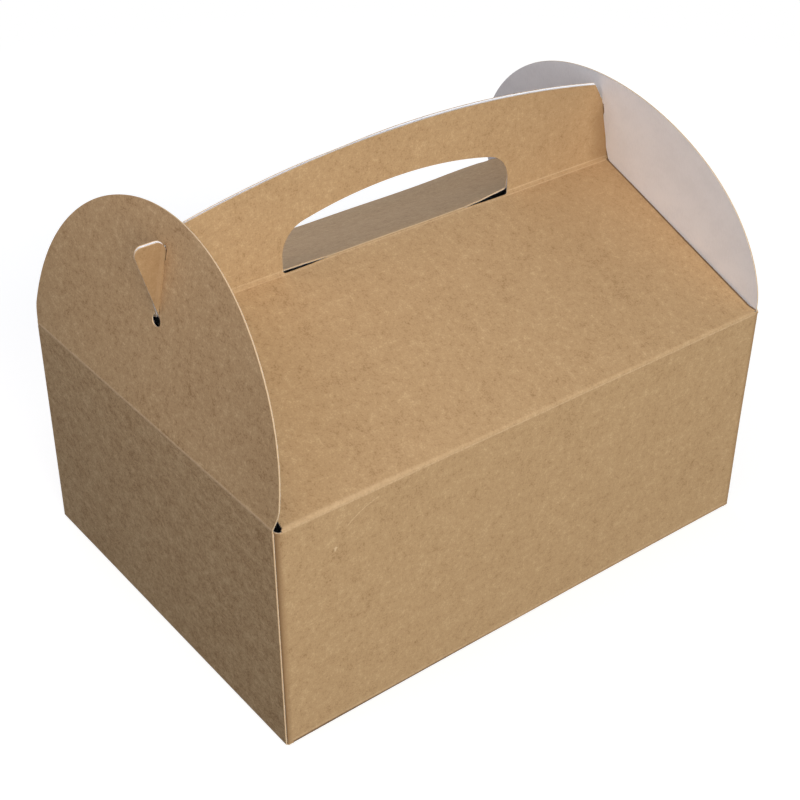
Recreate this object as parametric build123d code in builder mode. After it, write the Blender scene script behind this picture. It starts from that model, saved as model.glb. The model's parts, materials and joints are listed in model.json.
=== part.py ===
from build123d import *
import os
from math import atan2, cos, hypot, pi, radians, sin, tan

# Gable carton with a carrying handle, folded from one die-cut sheet of board.
# Millimetres. The origin is the middle of the base, +Z is up, the long side runs along X
# and the front faces -Y. Left and right are as seen from the front.

# Overall sizes, over the outside of the board
length = 220.0
width = 160.0
wall_height = 92.0
ridge_height = 128.0
board = 0.5

# Outside radii of the folds
base_fold = 1.2
corner_fold = 2.0
eave_fold = 1.6
ridge_fold = 1.8

# End flaps: arched, creased along the top of the end walls and leaning inwards
arch_crown = 11.0
arch_shoulder = 2.0
arch_overhang = 0.4
left_lean = 14.0
right_lean = 8.0
crease_gap = 0.2
fit_gap = 0.5

# Handle: two panels back to back, with an arched top and a hand hole down to the ridge
handle_height = 40.8
handle_crown_radius = 465.0
handle_end_gap = 2.6
panel_gap = 0.4
hole_length = 103.0
hole_height = 22.5
hole_crown = 7.5
hole_corner = 12.0
hole_foot_corner = 1.0

# Hooked fins on the ends of the handle, and the slots they stand in
fin_height = 27.0
fin_reach = 12.7
fin_neck_height = 22.5
fin_inner_corner = 3.6
fin_outer_corner = 2.5
slot_side_gap = 0.5
slot_end_gap = 0.6
slot_foot_width = 3.8
slot_foot_drop = 2.4

# Corners: flaps of the long walls, glued behind the end walls
glue_flap_width = 24.0
glue_flap_top_gap = 2.0
glue_flap_foot_gap = 1.2
end_wall_recess = 2.0
notch_length = 3.0
notch_rise = 1.8

half_length = length / 2
half_width = width / 2
handle_half_thickness = board + panel_gap / 2
handle_top = ridge_height + handle_height
corner_start = half_length - board - corner_fold

# Above its ridge fold each handle panel stands upright from fin_base
ridge_turn = pi / 2 - atan2(ridge_height - wall_height, half_width - handle_half_thickness)
fin_base = ridge_height + ridge_fold * tan(ridge_turn / 2)
fin_neck = ridge_height + fin_neck_height
fin_top = ridge_height + fin_height

# The arches rise past the fins by the crown
arch_height = fin_top - wall_height + arch_crown


def flap_outside(z, lean):
    """Distance along X from the middle of the carton to a flap's outer face at height z."""
    return half_length - (z - wall_height) * tan(radians(lean))


def flap_inside(z, lean):
    """Distance along X from the middle of the carton to a flap's inner face at height z."""
    return flap_outside(z, lean) - board / cos(radians(lean))


def handle_end(lean):
    """Distance along X from the middle of the carton to the handle's top corner."""
    return flap_inside(handle_top, lean) - handle_end_gap


handle_middle = (handle_end(right_lean) - handle_end(left_lean)) / 2


def handle_edge(x):
    """Height of the handle's top edge, arched about the middle of the handle."""
    return handle_top - handle_crown_radius + (handle_crown_radius**2 - (x - handle_middle) ** 2) ** 0.5


def hook_inside(lean):
    """Distance along X from the middle of the carton to the inner edge of a fin's hook."""
    return flap_outside(fin_neck, lean) + fit_gap


def end_outline(side, lean):
    """Points and corner radii of one cut end, from the eave up to the handle's top corner."""
    notch_top = wall_height + notch_rise
    points = [
        (half_length - notch_length, wall_height),
        (flap_inside(notch_top, lean) - fit_gap, notch_top),
        (flap_inside(fin_base, lean) - fit_gap, fin_base),
        (flap_outside(fin_neck, lean) + fin_reach, fin_top),
        (hook_inside(lean), fin_top),
        (hook_inside(lean), fin_neck),
        (flap_inside(fin_neck, lean) - fit_gap, fin_neck),
        (handle_end(lean), handle_edge(side * handle_end(lean))),
    ]
    radii = [0, 0, fin_outer_corner, fin_inner_corner, 0, 0]
    return [(side * x, z) for x, z in points], radii


with BuildPart() as carton:
    # Section of the sheet across the carton: base, long walls, roof panels and handle panels
    with BuildSketch(Plane.YZ):
        with BuildLine():
            FilletPolyline(
                (-handle_half_thickness, handle_top),
                (-handle_half_thickness, ridge_height),
                (-half_width, wall_height),
                (-half_width, 0),
                (half_width, 0),
                (half_width, wall_height),
                (handle_half_thickness, ridge_height),
                (handle_half_thickness, handle_top),
                radius=[ridge_fold, eave_fold, base_fold, base_fold, eave_fold, ridge_fold],
            )
            offset(amount=board, side=Side.LEFT)
        make_face()
    extrude(amount=length, both=True)

    # Cut edges seen from the front: wall ends, slanting roof ends, fins and arched handle top
    left_points, left_radii = end_outline(-1, left_lean)
    right_points, right_radii = end_outline(1, right_lean)
    with BuildSketch(Plane.XZ):
        with BuildLine():
            FilletPolyline(*left_points, radius=left_radii)
            ThreePointArc(left_points[-1], (handle_middle, handle_top), right_points[-1])
            FilletPolyline(*right_points, radius=right_radii)
            Polyline(
                left_points[0],
                (-corner_start, wall_height),
                (-corner_start, 0),
                (corner_start, 0),
                (corner_start, wall_height),
                right_points[0],
            )
        make_face()
    extrude(amount=width, both=True, mode=Mode.INTERSECT)

    # Hand hole through both handle panels
    with BuildSketch(Plane.XZ) as hand_hole:
        hole_side = ridge_height + hole_height - hole_crown
        with BuildLine():
            Polyline(
                (-hole_length / 2, hole_side),
                (-hole_length / 2, ridge_height),
                (hole_length / 2, ridge_height),
                (hole_length / 2, hole_side),
            )
            ThreePointArc(
                (-hole_length / 2, hole_side),
                (0, ridge_height + hole_height),
                (hole_length / 2, hole_side),
            )
        make_face()
        fillet(hand_hole.vertices().group_by(Axis.Y)[-1], hole_corner)
        fillet(hand_hole.vertices().group_by(Axis.Y)[0], hole_foot_corner)
    extrude(amount=half_width, both=True, mode=Mode.SUBTRACT)

    # End walls, folded up from the base, with their raw edges set back from the long walls
    for side in (-1, 1):
        with BuildSketch(Plane.XZ):
            with BuildLine():
                FilletPolyline(
                    (side * (corner_start - corner_fold), 0),
                    (side * half_length, 0),
                    (side * half_length, wall_height - crease_gap),
                    radius=base_fold,
                )
                offset(amount=board, side=Side.LEFT if side > 0 else Side.RIGHT)
            make_face()
        extrude(amount=half_width - end_wall_recess, both=True)

    # Glue flaps, folded round the four corners on to the inside of the end walls
    for side, face in ((-1, -1), (-1, 1), (1, -1), (1, 1)):
        with BuildSketch(Plane.XY.offset(glue_flap_foot_gap)):
            with BuildLine():
                FilletPolyline(
                    (side * (corner_start - corner_fold), face * half_width),
                    (side * (half_length - board), face * half_width),
                    (side * (half_length - board), face * (half_width - glue_flap_width)),
                    radius=corner_fold,
                )
                offset(amount=board, side=Side.LEFT if side * face < 0 else Side.RIGHT)
            make_face()
        extrude(amount=wall_height - glue_flap_top_gap - glue_flap_foot_gap)


def end_flap_plane(side, lean):
    """Outer face of an end flap, with its origin on the crease and its Y axis up the flap."""
    tilt = radians(lean)
    return Plane(
        origin=(side * half_length, 0, wall_height),
        x_dir=(0, side, 0),
        z_dir=(side * cos(tilt), 0, sin(tilt)),
    )


def end_flap_sketch(lean):
    """Arch with the slot that the two fins stand in, wider at its foot."""
    arch_half_width = half_width + arch_overhang
    slot_foot = (fin_base - wall_height) / cos(radians(lean)) - slot_foot_drop
    slot_top = hypot(half_length - hook_inside(lean), fin_top - wall_height) + slot_end_gap
    slot_half_width = handle_half_thickness + slot_side_gap
    with BuildSketch(mode=Mode.PRIVATE) as flap:
        with BuildLine():
            Polyline(
                (-arch_half_width, arch_shoulder),
                (-arch_half_width, crease_gap),
                (arch_half_width, crease_gap),
                (arch_half_width, arch_shoulder),
            )
            EllipticalCenterArc(
                (0, arch_shoulder),
                arch_half_width,
                arch_height - arch_shoulder,
                start_angle=0,
                arc_size=180,
            )
        make_face()
        with Locations((0, slot_foot)):
            Circle(slot_foot_width / 2, mode=Mode.SUBTRACT)
        with Locations((0, (slot_foot + slot_top) / 2)):
            Rectangle(2 * slot_half_width, slot_top - slot_foot, mode=Mode.SUBTRACT)
    return flap.sketch


with BuildPart() as left_end_flap:
    with BuildSketch(end_flap_plane(-1, left_lean)):
        add(end_flap_sketch(left_lean))
    extrude(amount=-board)

with BuildPart() as right_end_flap:
    with BuildSketch(end_flap_plane(1, right_lean)):
        add(end_flap_sketch(right_lean))
    extrude(amount=-board)

carton.part.label = "carton"
left_end_flap.part.label = "left_end_flap"
right_end_flap.part.label = "right_end_flap"

os.makedirs("parts", exist_ok=True)
export_step(carton.part, "parts/carton.step")
export_step(left_end_flap.part, "parts/left_end_flap.step")
export_step(right_end_flap.part, "parts/right_end_flap.step")
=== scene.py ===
import json
import math

import bpy
import numpy as np
from bpy.props import FloatProperty, FloatVectorProperty, PointerProperty
from bpy.types import Operator, Panel, PropertyGroup
from mathutils import Matrix, Vector
from mathutils.geometry import delaunay_2d_cdt
from mathutils.kdtree import KDTree


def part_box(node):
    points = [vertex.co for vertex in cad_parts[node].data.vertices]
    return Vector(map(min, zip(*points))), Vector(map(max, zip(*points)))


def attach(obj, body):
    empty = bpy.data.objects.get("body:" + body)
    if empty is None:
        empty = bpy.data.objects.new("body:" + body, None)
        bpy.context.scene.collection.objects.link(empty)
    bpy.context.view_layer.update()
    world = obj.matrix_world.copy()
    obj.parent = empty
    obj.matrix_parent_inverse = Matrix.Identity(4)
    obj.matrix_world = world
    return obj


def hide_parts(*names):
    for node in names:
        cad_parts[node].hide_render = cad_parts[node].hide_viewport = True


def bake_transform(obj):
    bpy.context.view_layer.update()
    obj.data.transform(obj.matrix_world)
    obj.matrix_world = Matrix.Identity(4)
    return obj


bl_info = {
    "name": "Gable carton",
    "version": (1, 0, 0),
    "blender": (4, 5, 0),
    "location": "View3D > Sidebar > Carton",
    "description": "Folds a kraft gable carton from its flat blank and sets it on a pale floor",
    "category": "Object",
}

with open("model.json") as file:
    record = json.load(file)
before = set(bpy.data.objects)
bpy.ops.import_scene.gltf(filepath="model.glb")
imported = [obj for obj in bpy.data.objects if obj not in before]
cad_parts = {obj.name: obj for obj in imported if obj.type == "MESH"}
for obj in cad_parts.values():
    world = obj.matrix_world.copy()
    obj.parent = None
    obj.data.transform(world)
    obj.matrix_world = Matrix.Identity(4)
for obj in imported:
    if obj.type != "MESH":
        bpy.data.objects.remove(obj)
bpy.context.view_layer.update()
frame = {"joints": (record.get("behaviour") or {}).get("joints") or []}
CARTON_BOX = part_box("carton")
CREASES = {joint["name"]: joint["pos_m"] for joint in frame["joints"]}
MM = 0.001


# Properties

def distance(name, description, default):
    """A length in metres that a user can change."""
    return FloatProperty(name=name, description=description, default=default, unit="LENGTH", precision=5)


def size(name, description, millimetres):
    """A length written in millimetres."""
    return distance(name, description, millimetres * MM)


def bends(name, description, millimetres):
    """Three lengths by which a flap leaves its flat plane."""
    default = [value * MM for value in millimetres]
    kept = {"default": default, "unit": "LENGTH", "precision": 5}
    return FloatVectorProperty(name=name, description=description, **kept)


def angle(name, description, degrees):
    """An angle that a user can change."""
    return FloatProperty(name=name, description=description, default=math.radians(degrees), subtype="ANGLE")


def paint(name, description, red, green, blue):
    """A colour written as 8-bit display values and kept as scene light."""
    light = [((c / 255 + 0.055) / 1.055) ** 2.4 for c in (red, green, blue)]
    kept = {"default": light, "subtype": "COLOR", "min": 0, "max": 1}
    return FloatVectorProperty(name=name, description=description, **kept)


class CartonSizes(PropertyGroup):
    """Sizes of the folded sheet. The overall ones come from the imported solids."""

    length: distance("Length", "Over the end walls", 2 * CREASES["right_flap_crease"][0])
    width: distance("Width", "Over the long walls", CARTON_BOX[1].y - CARTON_BOX[0].y)
    wall_height: distance("Wall height", "Base to eave crease", CREASES["right_flap_crease"][2])
    ridge_height: size("Ridge height", "Base to the crease under the handle", 128)
    handle_top: distance("Handle top", "Base to the crown of the handle", CARTON_BOX[1].z)
    board: size("Board", "Thickness of the board", 0.5)
    base_fold: size("Base fold", "Outside radius of the folds round the base", 0.6)
    corner_fold: size("Corner fold", "Outside radius of the upright folds", 2)
    eave_fold: size("Eave fold", "Outside radius of the folds under the roof", 1.6)
    ridge_fold: size("Ridge fold", "Outside radius of the folds under the handle", 1.8)
    arch_height: size("Arch height", "Crease to crown of an end flap", 74)
    arch_shoulder: size("Arch shoulder", "Straight rise at the foot of an arch", 2)
    arch_overhang: size("Arch overhang", "Arch edge outside the long walls", 0.4)
    arch_taper: size("Arch taper", "Height over which an arch narrows to its end wall", 8)
    left_lean: angle("Left lean", "Inward lean of the left end flap", 14)
    right_lean: angle("Right lean", "Inward lean of the right end flap", 8)
    crease_reach: size("Crease reach", "Half the width of a flap's creased strip", 1.2)
    fit_gap: size("Fit gap", "Between a fin's hook and its flap", 0.5)
    left_eave_gap: size("Left eave gap", "Left roof ends to their flap, at the eaves", 2.2)
    roof_end_gap: size("Roof end gap", "Between a roof end and its flap", 0.5)
    neck_gap: size("Neck gap", "Between the handle's right end and its flap", 0.15)
    neck_lap: size("Neck lap", "Left end of the handle past the flat of its bowed flap", 0.88)
    handle_crown: size("Handle crown", "Radius of the handle's top edge", 465)
    handle_end_gap: size("Handle end gap", "Handle corner to end flap, at crown height", 2.6)
    crown_shift: size("Crown shift", "Crown of the handle to the right of its middle", 4)
    corner_cut: size("Corner cut", "Top right corner of the handle worn back", 1.2)
    panel_gap: size("Panel gap", "Between the two handle panels", 0.4)
    hole_length: size("Hole length", "Hand hole, end to end", 103)
    hole_height: size("Hole height", "Hand hole, ridge to crown", 22.5)
    hole_crown: size("Hole crown", "Rise of the hand hole's top", 7.5)
    hole_corner: size("Hole corner", "Upper corner radius of the hand hole", 12)
    hole_foot: size("Hole foot", "Lower corner radius of the hand hole", 1)
    hole_spread: size("Hole spread", "How far the ridge folds part at the hole's ends", 0.1)
    hole_touch: size("Hole touch", "How far the ridge folds close at the hole's middle", 0.75)
    hole_rise: size("Hole rise", "Rise of the back ridge fold at the hole's right end", 0.8)
    hole_shift: size("Hole shift", "Back hole past the front one at its right end", 0.7)
    fin_height: size("Fin height", "Ridge to fin top", 27)
    fin_reach: size("Fin reach", "Flap to fin tip", 12.7)
    fin_neck: size("Fin neck", "Ridge to the notch behind the hook", 22.5)
    fin_inner_corner: size("Fin inner corner", "Radius on the flap's side", 3.6)
    fin_outer_corner: size("Fin outer corner", "Radius at the tip", 2.5)
    slot_half_width: size("Slot half width", "Half the width of a fin slot", 0.82)
    slot_foot_radius: size("Slot foot", "Half the height of the wider foot of a slot", 1.9)
    slot_foot_drop: size("Slot foot drop", "Foot below the fin's lower corner", 2.4)
    slot_end_gap: size("Slot end gap", "Slot end above the hook", -1.2)
    slot_ease: size("Slot ease", "Widening of the slot's front side at its top", 0.6)
    glue_flap_width: size("Glue flap width", "Corner fold to free edge", 24)
    glue_flap_top: size("Glue flap top", "Below the eave crease", 1)
    glue_flap_foot: size("Glue flap foot", "Above the base", 0.3)
    end_recess: size("End wall recess", "End walls' raw edges inside the long walls, at the top", 2)
    foot_recess: size("Foot recess", "The same at the base", 0.7)
    left_foot: size("Left foot", "Foot of the left arch inside the long walls", 2)
    right_foot: size("Right foot", "Foot of the right arch inside the long walls", 0.2)
    back_cut: size("Back cut", "Slanting cut at the back foot of the right arch", 7)
    back_cut_height: size("Back cut height", "Rise of that cut", 16)
    sharp_fold: size("Sharp fold", "Radius of the upright folds where they are pressed flat", 0.5)
    right_flare: size("Right flare", "Lean of the right end wall at its top", 1.3)
    notch_length: size("Notch length", "Cut-back of the eave at each left corner", 3)
    right_notch: size("Right notch", "Cut-back of the eave at each right corner", 0.9)
    notch_rise: size("Notch rise", "Height of that cut-back", 1.8)
    handle_spring: size("Handle spring", "How far the back handle panel springs out at its top", 0.4)
    handle_step: size("Handle step", "Rise of the back handle panel above the front one", 0.28)
    fin_step: size("Fin step", "Rise of a back fin above the front one", 0.4)
    fin_tuck: size("Fin tuck", "How far a back fin is drawn in behind the front one", 0.5)
    fin_bulge: size("Fin bulge", "How far the front fin bends out at its root", 0.6)
    back_lift: size("Back lift", "Rise of the back eave between its ends", 1.4)
    back_bulge: size("Back bulge", "Swell of the back roof panel above its eave", 3)
    base_bow: size("Base bow", "Spread of the long walls at the ends of the base", 0.45)
    left_warp: bends("Left warp", "Cup, twist and bow of the left end flap", (4.1, 0.6, -1.4))
    right_warp: bends("Right warp", "Cup, twist and bow of the right end flap", (2.3, -1.6, 2.4))
    wall_bow: size("Wall bow", "Swell of the long walls", 0.5)
    roof_bow: size("Roof bow", "Swell of the roof panels", 0.7)
    ripple: size("Ripple", "Height of the faint unevenness of the board", 0.05)
    mesh_step: size("Mesh step", "Grid on the flat panels", 3.2)
    fold_step: size("Fold step", "Grid across the folds", 0.32)


class CartonColours(PropertyGroup):
    """Colours of the board's two faces and its cut edges."""

    kraft: paint("Kraft", "Outside of the board", 184, 151, 111)
    # Darker fibres and flecks; the same colour is also laid as painted shade over the right of the roof and
    # handle, at the handle's right end, beside the nick and in the upright corners.
    dark_fibre_and_shade: paint("Dark fibre", "Darker fibres and flecks", 148, 114, 77)
    kraft_light: paint("Light fibre", "Lighter fibres", 211, 180, 139)
    worn: paint("Worn fold", "Broken fibres along the folds", 212, 181, 143)
    # Painted shade, laid in the narrow gaps at the right roof end and the left neck, under the front wall,
    # and on the handle's left cut edge.
    shade: paint("Shade", "Narrow dark gaps at the roof end, the handle and the base", 92, 68, 45)
    lining: paint("Lining", "Inside of the board", 246, 246, 251)
    lining_dark: paint("Lining shade", "Cloudy shade of the lining", 240, 240, 245)
    core: paint("Core", "Cut edge of the board", 212, 184, 146)
    floor: paint("Floor", "Pale floor", 246, 245, 244)
    floor_bounce: paint("Floor bounce", "Floor as it lights the carton", 70, 69, 68)


# Flat blank and its folds

def unit(vector):
    """The vector at length one."""
    vector = np.asarray(vector, float)
    return vector / np.linalg.norm(vector)


class FoldPath:
    """A line on the board's outer face that turns through round folds, measured along itself."""

    def __init__(self, corners, radii):
        corners = [np.array(corner, float) for corner in corners]
        self.folds = []
        runs = []
        place, along = corners[0], 0.0
        for before, corner, after, radius in zip(corners, corners[1:], corners[2:], radii):
            heading, leaving = unit(corner - before), unit(after - corner)
            turn = math.atan2(heading[0] * leaving[1] - heading[1] * leaving[0], heading @ leaving)
            reach = radius * math.tan(abs(turn) / 2)
            fold_start = corner - heading * reach
            runs.append((along, place, heading, 0.0))
            along += np.linalg.norm(fold_start - place)
            runs.append((along, fold_start, heading, math.copysign(1 / radius, turn)))
            self.folds.append(along + radius * abs(turn) / 2)
            along += radius * abs(turn)
            place = corner + leaving * reach
        runs.append((along, place, unit(corners[-1] - corners[-2]), 0.0))
        self.total = along + np.linalg.norm(corners[-1] - place)
        self.starts, self.places, self.headings, self.bends = (np.array(column) for column in zip(*runs))

    def at(self, along):
        """Positions and outward normals at distances along the line."""
        along = np.asarray(along, float)
        run = np.clip(np.searchsorted(self.starts, along, side="right") - 1, 0, len(self.starts) - 1)
        step, bend = along - self.starts[run], self.bends[run]
        turn = bend * step
        safe = np.where(bend == 0, 1, bend)
        ahead = np.where(bend == 0, step, np.sin(turn) / safe)[:, None]
        aside = np.where(bend == 0, 0, (1 - np.cos(turn)) / safe)[:, None]
        heading = self.headings[run]
        left = np.stack([-heading[:, 1], heading[:, 0]], axis=1)
        direction = np.cos(turn)[:, None] * heading + np.sin(turn)[:, None] * left
        normal = np.stack([direction[:, 1], -direction[:, 0]], axis=1)
        return self.places[run] + ahead * heading + aside * left, normal


def arc(centre, radius, start, end, step=0.7 * MM):
    """Points of a circular arc between two angles."""
    count = max(4, int(abs(end - start) * radius / step) + 1)
    turns = np.linspace(start, end, count)
    return [(centre[0] + radius * math.cos(t), centre[1] + radius * math.sin(t)) for t in turns]


def rounded(points, radii):
    """An open outline with its inner corners rounded; a radius of 0 keeps a corner sharp."""
    points = [np.array(point, float) for point in points]
    outline = [points[0]]
    for before, corner, after, radius in zip(points, points[1:], points[2:], radii):
        if radius == 0:
            outline.append(corner)
            continue
        back, on = unit(before - corner), unit(after - corner)
        half = math.acos(np.clip(back @ on, -1, 1)) / 2
        centre = corner + unit(back + on) * radius / math.sin(half)
        first = corner + back * radius / math.tan(half) - centre
        last = corner + on * radius / math.tan(half) - centre
        start = math.atan2(first[1], first[0])
        sweep = math.remainder(math.atan2(last[1], last[0]) - start, math.tau)
        outline += [np.array(point) for point in arc(centre, radius, start, start + sweep, 0.4 * MM)]
    return outline + [points[-1]]


class Layout:
    """Folds and cut edges of the carton, worked out from its sizes.

    A place on the flat blank is (u, v): u runs along the length and v from the middle of the base
    up the long walls, the roof and the handle, with the front negative.
    """

    def __init__(self, sizes):
        self.sizes = sizes
        self.half_length = sizes.length / 2
        self.half_width = sizes.width / 2
        self.handle_half = sizes.board + sizes.panel_gap / 2
        self.corner_start = self.half_length - sizes.board - sizes.corner_fold
        self.strip = FoldPath(
            [
                (0, 0),
                (self.half_width, 0),
                (self.half_width, sizes.wall_height),
                (self.handle_half, sizes.ridge_height),
                (self.handle_half, sizes.handle_top + sizes.board),
            ],
            [sizes.base_fold, sizes.eave_fold, sizes.ridge_fold],
        )
        self.end = FoldPath(
            [(0, 0), (self.half_length, 0), (self.half_length, sizes.wall_height)], [sizes.base_fold]
        )
        glued_face = self.half_length - sizes.board
        self.corner = FoldPath(
            [(0, 0), (glued_face, 0), (glued_face, sizes.glue_flap_width)], [sizes.corner_fold]
        )
        self.sharp_corner = FoldPath(
            [(0, 0), (glued_face, 0), (glued_face, 1.2 * sizes.glue_flap_width)], [sizes.sharp_fold]
        )
        self.base_v, self.eave_v, self.ridge_v = self.strip.folds
        rise, run = sizes.ridge_height - sizes.wall_height, self.half_width - self.handle_half
        ridge_turn = math.pi / 2 - math.atan2(rise, run)
        self.fin_base = sizes.ridge_height + sizes.ridge_fold * math.tan(ridge_turn / 2)
        self.fin_top = sizes.ridge_height + sizes.fin_height
        self.fin_neck = sizes.ridge_height + sizes.fin_neck
        self.handle_middle = (self.handle_end(sizes.right_lean) - self.handle_end(sizes.left_lean)) / 2
        self.samples = np.linspace(self.base_v, self.strip.total, 4000)
        self.sample_heights = self.strip.at(self.samples)[0][:, 1]

    def v_at(self, height):
        """Distance from the middle of the base to a height, along the sheet."""
        return float(np.interp(height, self.sample_heights, self.samples))

    def lean(self, side):
        """Inward lean of the end flap on one side."""
        return self.sizes.left_lean if side < 0 else self.sizes.right_lean

    def flap_outside(self, height, lean):
        """Distance along X to a flap's outer face."""
        return self.half_length - (height - self.sizes.wall_height) * math.tan(lean)

    def flap_inside(self, height, lean):
        """Distance along X to a flap's inner face."""
        return self.flap_outside(height, lean) - self.sizes.board / math.cos(lean)

    def handle_edge(self, x):
        """Height of the handle's top edge, arched about its crown."""
        crown = self.sizes.handle_crown
        off = x - self.handle_middle - self.sizes.crown_shift
        return self.sizes.handle_top - crown + math.sqrt(crown**2 - off**2)

    def hook_inside(self, lean):
        """Distance along X to the inner edge of a fin's hook."""
        return self.flap_outside(self.fin_neck, lean) + self.sizes.fit_gap

    def handle_end(self, lean):
        """Distance along X to the handle's top corner."""
        return self.flap_inside(self.sizes.handle_top, lean) - self.sizes.handle_end_gap

    def crown_end(self, side):
        """Distance along X to the end of the handle's top edge."""
        return self.handle_end(self.lean(side)) - (self.sizes.corner_cut if side > 0 else 0)

    def cut_end(self, side):
        """One cut end as (distance along X, height), from the eave up to the handle's top corner."""
        sizes, lean = self.sizes, self.lean(side)
        notch = sizes.notch_length if side < 0 else sizes.right_notch
        notch_top = sizes.wall_height + sizes.notch_rise * notch / sizes.notch_length
        root = self.fin_base - 2 * MM
        eave_gap = sizes.left_eave_gap if side < 0 else sizes.roof_end_gap
        points = [
            (self.half_length - notch, sizes.wall_height),
            (self.flap_inside(notch_top, lean) - eave_gap, notch_top),
            (self.flap_inside(root, lean) - sizes.roof_end_gap, root),
            (self.flap_outside(self.fin_base, lean) + sizes.board / 2, self.fin_base),
            (self.flap_outside(self.fin_neck, lean) + sizes.fin_reach, self.fin_top),
            (self.hook_inside(lean), self.fin_top),
            (self.hook_inside(lean), self.fin_neck),
        ]
        radii = [0, 0, 0, sizes.fin_outer_corner, sizes.fin_inner_corner, 0]
        if side < 0:
            shut = self.fin_top + 2 * MM
            points += [(self.flap_inside(z, lean) + sizes.neck_lap, z) for z in (self.fin_neck, shut)]
            radii += [0, 0]
        else:
            points.append((self.flap_inside(self.fin_neck, lean) - sizes.neck_gap, self.fin_neck))
            points += self.torn_end(points[-1], lean)
            radii += [0] * 7
        points.append((self.crown_end(side), self.handle_edge(side * self.crown_end(side))))
        return rounded(points, radii)

    def torn_end(self, neck, lean):
        """Two small torn nicks up the handle's right end, as (distance along X, height)."""
        top = np.array((self.handle_end(lean) + 1.2 * MM, self.fin_top + 1.5 * MM))
        edge = np.array(neck)
        nicks = [(0.42, 0.0), (0.46, 0.5), (0.5, -0.1), (0.78, 0.0), (0.82, 0.6), (0.87, -0.1)]
        return [tuple(edge + (top - edge) * rise - (depth * MM, 0)) for rise, depth in nicks]

    def quarter(self, side):
        """Cut edge of a quarter of the blank, from the end wall's top to the handle's top corner."""
        sizes = self.sizes
        end_top = self.end.total - sizes.crease_reach
        end_edge, foot_edge = self.half_width - sizes.end_recess, self.half_width - sizes.foot_recess
        foot = self.v_at(sizes.glue_flap_foot)
        top = self.v_at(sizes.wall_height - sizes.glue_flap_top * (1 if side < 0 else 0.3))
        taper = sizes.glue_flap_width / 6
        edge = [
            (end_top, end_edge),
            (self.end.folds[0], foot_edge),
            (self.corner_start, foot_edge),
            (self.corner_start, foot),
            (self.corner.folds[0] + sizes.corner_fold, foot),
            (self.corner.total, foot + taper),
            (self.corner.total, top - taper),
            (self.corner.folds[0] + sizes.corner_fold, top),
            (self.corner_start, top),
            (self.corner_start, self.v_at(sizes.wall_height)),
        ]
        return edge + [(x, self.v_at(z)) for x, z in self.cut_end(side)]

    def blank_edge(self):
        """Outline of the whole blank without its end flaps."""
        left, right = self.quarter(-1), self.quarter(1)
        ends = -self.crown_end(-1), self.crown_end(1)
        crown = [(x, self.v_at(self.handle_edge(x))) for x in np.linspace(*ends, 90)[1:-1]]
        back = right + crown[::-1] + [(-u, v) for u, v in left[::-1]]
        return back + [(u, -v) for u, v in back[::-1]]

    def hand_hole(self):
        """Outline of the hand hole in the back panel, on the blank."""
        sizes = self.sizes
        half = sizes.hole_length / 2
        radius = (half**2 + sizes.hole_crown**2) / (2 * sizes.hole_crown)
        centre = sizes.ridge_height + sizes.hole_height - radius
        corner_x, foot_x = half - sizes.hole_corner, half - sizes.hole_foot
        corner_z = centre + math.sqrt((radius - sizes.hole_corner) ** 2 - corner_x**2)
        foot_z = sizes.ridge_height + sizes.hole_foot
        turn = math.atan2(corner_z - centre, corner_x)
        right_half = (
            arc((foot_x, foot_z), sizes.hole_foot, -math.pi / 2, 0, 0.3 * MM)
            + arc((corner_x, corner_z), sizes.hole_corner, 0, turn)
            + arc((0, centre), radius, turn, math.pi / 2)[1:]
        )
        outline = right_half + [(-x, z) for x, z in right_half[-2::-1]]
        return [(x, self.v_at(z)) for x, z in outline]

    def fold_blank(self, blank):
        """Positions and outward normals of places on the blank, once it is folded."""
        u, v = blank[:, 0], blank[:, 1]
        side, face = np.sign(u), np.where(v < 0, -1.0, 1.0)
        across, normal = self.strip.at(np.abs(v))
        place = np.stack([u, face * across[:, 0], across[:, 1]], axis=1)
        outward = np.stack([np.zeros_like(u), face * normal[:, 0], normal[:, 1]], axis=1)

        beyond = np.abs(u) > self.corner_start
        on_end = beyond & (np.abs(v) <= self.half_width - 0.5 * self.sizes.foot_recess)
        up, up_normal = self.end.at(np.abs(u))
        place[on_end] = np.stack([side * up[:, 0], v, up[:, 1]], axis=1)[on_end]
        outward[on_end] = np.stack([side * up_normal[:, 0], 0 * u, up_normal[:, 1]], axis=1)[on_end]

        wall_top = self.v_at(self.sizes.wall_height - 0.15 * self.sizes.glue_flap_top)
        on_glue = beyond & ~on_end & (np.abs(v) < wall_top)
        inward, in_normal = self.corner.at(np.abs(u))
        pressed, pressed_normal = self.sharp_corner.at(np.abs(u))
        sharp = np.where(u > 0, 1, share(across[:, 1], 0.8 * self.sizes.wall_height, 0))[:, None]
        inward = inward + (pressed - inward) * sharp
        in_normal = in_normal + (pressed_normal - in_normal) * sharp
        in_normal /= np.linalg.norm(in_normal, axis=1)[:, None]
        glued = np.stack([side * inward[:, 0], face * (self.half_width - inward[:, 1]), across[:, 1]], axis=1)
        turned = np.stack([side * in_normal[:, 0], -face * in_normal[:, 1], 0 * u], axis=1)
        place[on_glue], outward[on_glue] = glued[on_glue], turned[on_glue]
        return self.settle(blank, place, outward), outward

    def settle(self, blank, place, outward):
        """The folded sheet as it stands, with its slack, its spread and its lifted edges."""
        spots = Spots(self, blank, place)
        moved = place + outward * self.swell(spots)[:, None]
        for shift in (self.ridge_shift, self.handle_shift, self.back_shift, self.fin_shift, self.end_shift):
            moved += np.stack(np.broadcast_arrays(*shift(spots)), axis=1)
        return moved

    def swell(self, spots):
        """Bow of the wall and roof panels, with the board's faint waves."""
        sizes = self.sizes
        middle = np.clip(1 - (spots.u / self.half_length) ** 2, 0, 1)
        bow = sizes.wall_bow * 4 * spots.wall * (1 - spots.wall)
        bow = bow + sizes.roof_bow * 4 * spots.roof * (1 - spots.roof)
        above_base = share(spots.far, self.base_v, self.base_v + sizes.base_fold)
        return middle * bow + ripple(spots.blank, sizes.ripple) * above_base

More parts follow.
